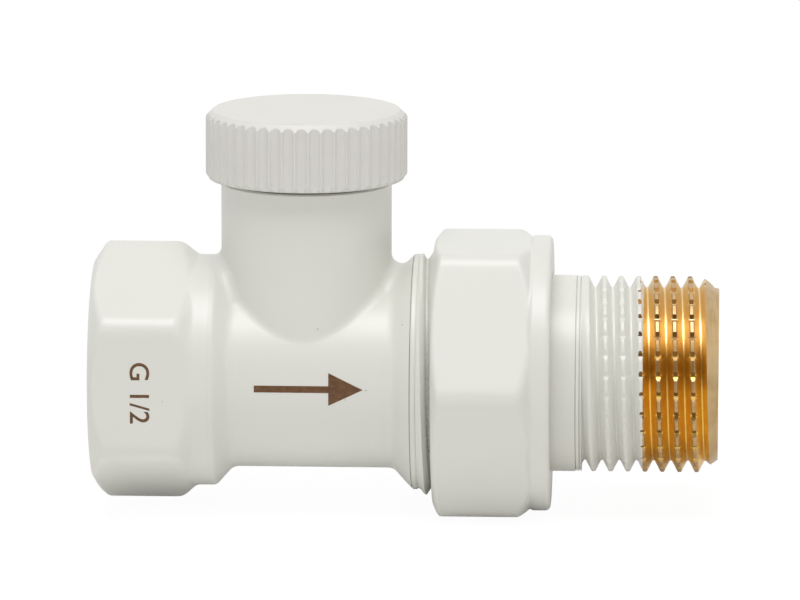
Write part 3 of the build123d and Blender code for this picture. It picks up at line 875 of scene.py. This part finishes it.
def unionLimit(place, angle, radius):
    # the first crest rises beside the lip, and the far end is chamfered
    start, radiusThere, slope = body["runIn"]
    envelope = radiusThere + max(0.0, place - start) * slope
    floorStart, floorRadius, fall = body["runInFloor"]
    floor = floorRadius - max(0.0, place - floorStart) * fall
    radius = min(max(radius, floor), envelope)
    return min(radius, body["unionCrest"] - body["unionEndChamfer"] + (bodyEnd - place))


def nippleLimit(place, angle, radius):
    return min(radius, body["nippleCrest"] - body["nippleChamfer"] + (nippleTop - place))


def inletRadius(place, angle):
    # the inlet's six flats, turned off at the mouth and run out softly on the collar
    flats = hexagonRadius(angle, body["hexHalf"], body["hexCorner"], 0.0)
    mouth = body["hexEndRadius"] + place * body["hexEndSlope"]
    fall = smoothStep(*body["shoulder"], place)
    lift = body["skinLift"] - body["skinSink"] * smoothStep(body["sinkFrom"], body["skinEnd"], place)
    shoulder = body["collarRadius"] + lift + body["shoulderDrop"] * (1 - fall)
    soft = body["hexSoft"] + body["cornerSoft"] * (flats - body["hexHalf"])
    radius = softMin(softMin(flats, mouth, soft), shoulder, body["shoulderSoft"])
    if place > body["collarFrom"]:
        radius = max(radius, body["collarRadius"] + lift)
    return radius


def makeInletSkin():
    steps = (0, 0.05, 0.12, 0.2, 0.3, 0.42, 0.56, 0.72, 0.9, 1.1, 1.35, 1.65, 2.1, 3.5, 5.0, 6.5, 8.0,
             8.6, 9.0, 9.25, 9.5, 9.75, 10.0, 10.25, 10.5, 10.75, 11.0, 11.2, 11.4, 11.7, 12.0, 12.3)
    places = [step * mm for step in steps] + [body["skinEnd"]]
    innerStart, innerRadius = body["skinInner"]
    inner = [(body["skinEnd"], innerRadius), (innerStart, innerRadius)]
    points, faces = ringSkin(places, inletRadius, inner, evenAngles(288))
    return meshPiece("inlet_flats", points, faces, bodyMaterials, 40)


valveBody = copyNode("valve_body", "valve_body_forging")
pullIn(valveBody.data, pipeAxes, body["collarRadius"] - closeTo,
       lambda place, radius: place < body["hexZone"] and radius > body["collarRadius"] + body["collarProud"])
pullIn(valveBody.data, pipeAxes, body["hexEndRadius"] - body["mouthGap"],
       lambda place, radius: place < body["mouthZone"])
pullIn(valveBody.data, pipeAxes, body["unionRoot"] - body["unionGap"],
       lambda place, radius: place > body["lipLines"][0][0] + body["unionGap"])
pullIn(valveBody.data, spindleAxes, body["nippleRoot"] - body["nippleGap"],
       lambda place, radius: place > nippleFoot - body["nippleGap"] and radius < body["nippleZone"])


def isBetween(value, limits):
    return limits[0] < value < limits[1]


for vertex in valveBody.data.vertices:
    aboutSpindle = math.hypot(vertex.co.x - spindleX, vertex.co.y)
    aboutPipe = math.hypot(vertex.co.y, vertex.co.z)
    if vertex.co.z > body["rimAbove"] and isBetween(aboutSpindle, body["rimBand"]):
        vertex.co.z -= body["rimDrop"]
    elif isBetween(vertex.co.x, body["grooveSpan"]) and aboutPipe > body["grooveEdge"]:
        vertex.co.y *= body["lipGroove"] / aboutPipe
        vertex.co.z *= body["lipGroove"] / aboutPipe
unionCoat = halfCoatedMaterial("union_coat", nutShadowStop, body["unionCrest"], body["paintedShadeRadius"])
bodyMaterials = [whiteCoat, bareBrass, unionCoat, gapShadeCoat]
for material in bodyMaterials:
    valveBody.data.materials.append(material)


def isOutside(middle):
    # the sprayed outside of the forging, as against its bores and waterways
    aboutPipe = math.hypot(middle.y, middle.z)
    aboutSpindle = math.hypot(middle.x - spindleX, middle.y)
    inletDepth, inletRim = body["inletBore"]
    outletStart, outletRim = body["outletBore"]
    towerFoot, towerRim = body["towerBore"]
    if middle.x < inletDepth:
        return aboutPipe > inletRim
    if middle.x > outletStart:
        return aboutPipe > outletRim
    return aboutPipe > body["runBore"] and (middle.z < towerFoot or aboutSpindle > towerRim)


for polygon in valveBody.data.polygons:
    middle = polygon.center
    aboutSpindle = math.hypot(middle.x - spindleX, middle.y)
    aboutPipe = math.hypot(middle.y, middle.z)
    underCap = isBetween(middle.z, body["capGap"]) and aboutSpindle < body["nippleZone"]
    besideLip = isBetween(middle.x, body["grooveLine"]) and aboutPipe > body["grooveEdge"]
    polygon.material_index = 0 if isOutside(middle) else 1
    # painted shade: the land under the cap and a line in the groove beside the lip get the dark coat
    if underCap or besideLip:
        polygon.material_index = 3
unionThread = threadPiece("union_thread", {
    "axes": pipeAxes, "pitch": pipePitch, "start": body["unionStart"], "end": bodyEnd,
    "crest": unionCrestPlace, "form": pipeForm(body["unionCrest"], body["unionRoot"]),
    "angles": evenAngles(180), "limit": unionLimit, "back": body["unionRoot"] - body["threadBack"]},
    bodyMaterials, 2)
nippleForm = pipeForm(body["nippleCrest"], body["nippleRoot"], body["nippleFlat"], body["nippleFlat"])
nippleThread = threadPiece("nipple_thread", {
    "axes": spindleAxes, "pitch": body["nipplePitch"], "start": nippleFoot, "end": nippleTop,
    "crest": nippleFoot, "form": nippleForm, "angles": evenAngles(144), "limit": nippleLimit,
    "back": body["nippleRoot"] - body["threadBack"]}, bodyMaterials)
inletThread = threadPiece("inlet_thread", {
    "axes": pipeAxes, "pitch": pipePitch, "start": body["inletStart"], "end": body["inletEnd"],
    "crest": 0.0, "form": pipeForm(body["inletCrest"], body["inletRoot"]), "angles": evenAngles(180),
    "limit": noLimit, "back": body["inletRoot"] + body["inletBack"]}, bodyMaterials, 1)
lipRing = linedRing("lip_lines", body["lipLines"], body["unionRoot"] - body["lipBack"], 240, bodyMaterials)
joinInto(valveBody, unionThread, nippleThread, inletThread, lipRing, makeInletSkin())
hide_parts("valve_body")
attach(valveBody, "valve_body")
print("body made:", len(valveBody.data.polygons), "faces")

# etched marks: a plain flow arrow on the run and a thread size on the inlet's front flat
arrow = {
    "middle": 23.1 * mm,
    "length": 11.4 * mm,
    "headLength": 3.6 * mm,
    "headHalf": 1.75 * mm,
    "shaftHalf": 0.36 * mm,
    "tipHalf": 0.004 * mm,
    "radius": 10.2 * mm,
    "proud": 0.012 * mm,
    "sink": 0.05 * mm,
}


def makeArrow():
    # flat outline laid round the run, front and centre
    back = arrow["middle"] - arrow["length"] / 2
    tip = arrow["middle"] + arrow["length"] / 2
    neck = tip - arrow["headLength"]
    steps = 14
    columns = [(back + (neck - back) * step / steps, arrow["shaftHalf"]) for step in range(steps + 1)]
    columns += [(neck + (tip - neck) * step / steps, arrow["headHalf"] * (1 - step / steps))
                for step in range(steps)]
    columns.append((tip, arrow["tipHalf"]))
    rowsAcross = 10
    points, faces = [], []
    for radius in (arrow["radius"] + arrow["proud"], arrow["radius"] - arrow["sink"]):
        for place, half in columns:
            for step in range(rowsAcross + 1):
                angle = (half - 2 * half * step / rowsAcross) / arrow["radius"]
                points.append((place, -radius * math.cos(angle), radius * math.sin(angle)))
    width = rowsAcross + 1
    layer = len(columns) * width
    for column in range(len(columns) - 1):
        for step in range(rowsAcross):
            first = column * width + step
            face = (first, first + 1, first + width + 1, first + width)
            faces.append(face)
            faces.append(tuple(layer + index for index in reversed(face)))
    rim = [column * width for column in range(len(columns))]
    rim += [(len(columns) - 1) * width + step for step in range(1, width)]
    rim += [column * width + rowsAcross for column in range(len(columns) - 2, -1, -1)]
    rim += [step for step in range(rowsAcross - 1, 0, -1)]
    for first, second in zip(rim, rim[1:] + rim[:1]):
        faces.append((first, second, layer + second, layer + first))
    return meshPiece("flow_arrow", points, faces, [etchedMark])


flowArrow = makeArrow()
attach(flowArrow, "valve_body")

sizeMark = {
    "text": "G 1/2",
    "height": 2.9 * mm,
    "middle": (5.45 * mm, -0.15 * mm),
    "proud": 0.012 * mm,
    "thicken": 0.02 * mm,
}


def makeSizeMark():
    curve = bpy.data.curves.new("thread_size", "FONT")
    curve.body = sizeMark["text"]
    curve.size = sizeMark["height"]
    curve.align_x = "CENTER"
    curve.align_y = "CENTER"
    curve.extrude = sizeMark["proud"]
    curve.offset = sizeMark["thicken"]
    curve.resolution_u = 6
    flat = bpy.data.objects.new("thread_size_text", curve)
    scene.collection.objects.link(flat)
    bpy.context.view_layer.update()
    mesh = bpy.data.meshes.new_from_object(flat)
    bpy.data.objects.remove(flat)
    mesh.name = "thread_size"
    turned = Matrix.Rotation(math.radians(90), 4, "X") @ Matrix.Rotation(math.radians(-90), 4, "Z")
    along, height = sizeMark["middle"]
    place = Matrix.Translation((along, -body["hexHalf"], height))   # on the inlet's front flat
    mesh.transform(place @ turned)
    mesh.materials.clear()
    mesh.materials.append(etchedMark)
    piece = bpy.data.objects.new("thread_size", mesh)
    scene.collection.objects.link(piece)
    return piece


threadSize = makeSizeMark()
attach(threadSize, "valve_body")
print("marks made")

# finishes of the solids that keep their own shape
finishes = {
    "cap": whiteCap, "bonnet": bareBrass, "spindle": bareBrass, "disc_holder": bareBrass,
    "washer_screw": bareBrass, "disc_retaining_ring": springSteel, "bonnet_o_ring": blackRubber,
    "spindle_o_ring_lower": blackRubber, "spindle_o_ring_upper": blackRubber, "seat_washer": blackRubber,
    "cap_gasket": blackRubber, "tail_o_ring": blackRubber,
}
for name, material in finishes.items():
    nodes[name].material_slots[0].material = material
print("finishes given to", len(finishes), "solids")

# stage, light and camera
stage = {
    "floorHalf": 1.6,
    "world": 0.515,
    "keyPower": 2.12,
    "keySize": (0.50, 0.30),
    "keyPlace": (0.03, -0.20, 0.61),
    "flagEdges": ((-1.1, 0.0), (-1.1, 1.15)),       # lower and upper edge, each as (Y, Z)
    "flagShade": (0.112, 0.062, 0.018, 1),
    "stripEdges": ((-0.62, 0.86), (-0.22, 1.10)),
    "stripGlow": (1.6, 1.6, 1.6, 1),
    "floorColour": (0.95, 0.95, 0.94, 1),
    "floorRoughness": 0.9,
    "floorShare": 0.93,
    "floorGloss": 0.17,
    "floorGlow": 1.03,
}


def emissionMix(tree, strength, share, glossShare, other):
    # plain white to the eye and in reflections, lit normally otherwise
    path = addNode(tree, "ShaderNodeLightPath")
    seen = mathNode(tree, "MAXIMUM", path.outputs["Is Camera Ray"], path.outputs["Is Transmission Ray"])
    seen = mathNode(tree, "MULTIPLY", seen, share)
    mirrored = mathNode(tree, "MULTIPLY", path.outputs["Is Glossy Ray"], glossShare)
    seen = mathNode(tree, "MAXIMUM", seen, mirrored)
    glow = addNode(tree, "ShaderNodeEmission")
    glow.inputs["Strength"].default_value = strength
    mixed = addNode(tree, "ShaderNodeMixShader")
    wire(tree, seen, mixed.inputs["Fac"])
    wire(tree, other, mixed.inputs[1])
    wire(tree, glow.outputs["Emission"], mixed.inputs[2])
    return mixed.outputs["Shader"]


def stageSheet(name, corners, material):
    sheet = bpy.data.meshes.new(name)
    sheet.from_pydata(corners, [], [(0, 1, 2, 3)])
    sheet.materials.append(material)
    piece = bpy.data.objects.new(name, sheet)
    scene.collection.objects.link(piece)
    return piece


def makeFloor():
    half = stage["floorHalf"]
    level = cadLow.z
    material = bpy.data.materials.new("floor_white")
    material.use_nodes = True
    tree = material.node_tree
    shader = tree.nodes["Principled BSDF"]
    shader.inputs["Base Color"].default_value = stage["floorColour"]
    shader.inputs["Roughness"].default_value = stage["floorRoughness"]
    seen = emissionMix(tree, stage["floorGlow"], stage["floorShare"], stage["floorGloss"],
                       shader.outputs["BSDF"])
    wire(tree, seen, tree.nodes["Material Output"].inputs["Surface"])
    corners = [(-half, -half, level), (half, -half, level), (half, half, level), (-half, half, level)]
    stageSheet("floor", corners, material)


def makeCard(name, edges, glowColour):
    # a card seen only in reflections, between two edges and wide along the pipe
    half = stage["floorHalf"]
    low, high = edges
    material = bpy.data.materials.new(name)
    material.use_nodes = True
    tree = material.node_tree
    tree.nodes.remove(tree.nodes["Principled BSDF"])
    glow = addNode(tree, "ShaderNodeEmission")
    glow.inputs["Color"].default_value = glowColour
    wire(tree, glow.outputs["Emission"], tree.nodes["Material Output"].inputs["Surface"])
    piece = stageSheet(name, [(-half, *low), (half, *low), (half, *high), (-half, *high)], material)
    piece.visible_camera = False
    piece.visible_diffuse = False
    piece.visible_shadow = False


def makeLamp(name, place, target, size, power):
    lamp = bpy.data.lights.new(name, "AREA")
    lamp.shape = "RECTANGLE"
    lamp.size, lamp.size_y = size
    lamp.energy = power
    piece = bpy.data.objects.new(name, lamp)
    piece.location = place
    piece.rotation_euler = (Vector(target) - Vector(place)).to_track_quat("-Z", "Y").to_euler()
    scene.collection.objects.link(piece)


def makeWorld():
    world = bpy.data.worlds.new("studio")
    world.use_nodes = True
    scene.world = world
    tree = world.node_tree
    ambient = tree.nodes["Background"]
    ambient.inputs["Color"].default_value = (1, 1, 1, 1)
    ambient.inputs["Strength"].default_value = stage["world"]
    seen = emissionMix(tree, 1.0, 1.0, 1.0, ambient.outputs["Background"])
    wire(tree, seen, tree.nodes["World Output"].inputs["Surface"])


view = {
    "distance": 844.57 * mm,
    "elevation": math.radians(10.879),
    "yaw": math.radians(2.371),
    "roll": math.radians(0.1206),
    "target": Vector((32.272 * mm, 0, 7.669 * mm)),
    "pixelsPerMm": 9.4704,
    "imageWidth": 800,
    "sensor": 36.0,
}


def makeCamera():
    camera = bpy.data.cameras.new("photo_view")
    focal = view["pixelsPerMm"] * view["distance"] / mm
    camera.sensor_width = view["sensor"]
    camera.lens = focal * view["sensor"] / view["imageWidth"]
    camera.clip_start, camera.clip_end = 0.01, 20
    lift, turn, roll = view["elevation"], view["yaw"], view["roll"]
    toCamera = Vector((math.sin(turn) * math.cos(lift), -math.cos(turn) * math.cos(lift), math.sin(lift)))
    right = (-toCamera).cross(Vector((0, 0, 1))).normalized()
    up = right.cross(-toCamera)
    rolledRight = right * math.cos(roll) + up * math.sin(roll)
    rolledUp = up * math.cos(roll) - right * math.sin(roll)
    piece = bpy.data.objects.new("photo_view", camera)
    scene.collection.objects.link(piece)
    turned = Matrix((rolledRight, rolledUp, toCamera)).transposed().to_4x4()
    piece.matrix_world = Matrix.Translation(view["target"] + toCamera * view["distance"]) @ turned
    scene.camera = piece


makeFloor()
makeCard("front_flag", stage["flagEdges"], stage["flagShade"])
makeCard("strip_light", stage["stripEdges"], stage["stripGlow"])
makeWorld()
middle = (cadLow + cadHigh) / 2
makeLamp("key", stage["keyPlace"], middle, stage["keySize"], stage["keyPower"])
makeCamera()
scene.view_settings.view_transform = "Standard"
print("stage made")
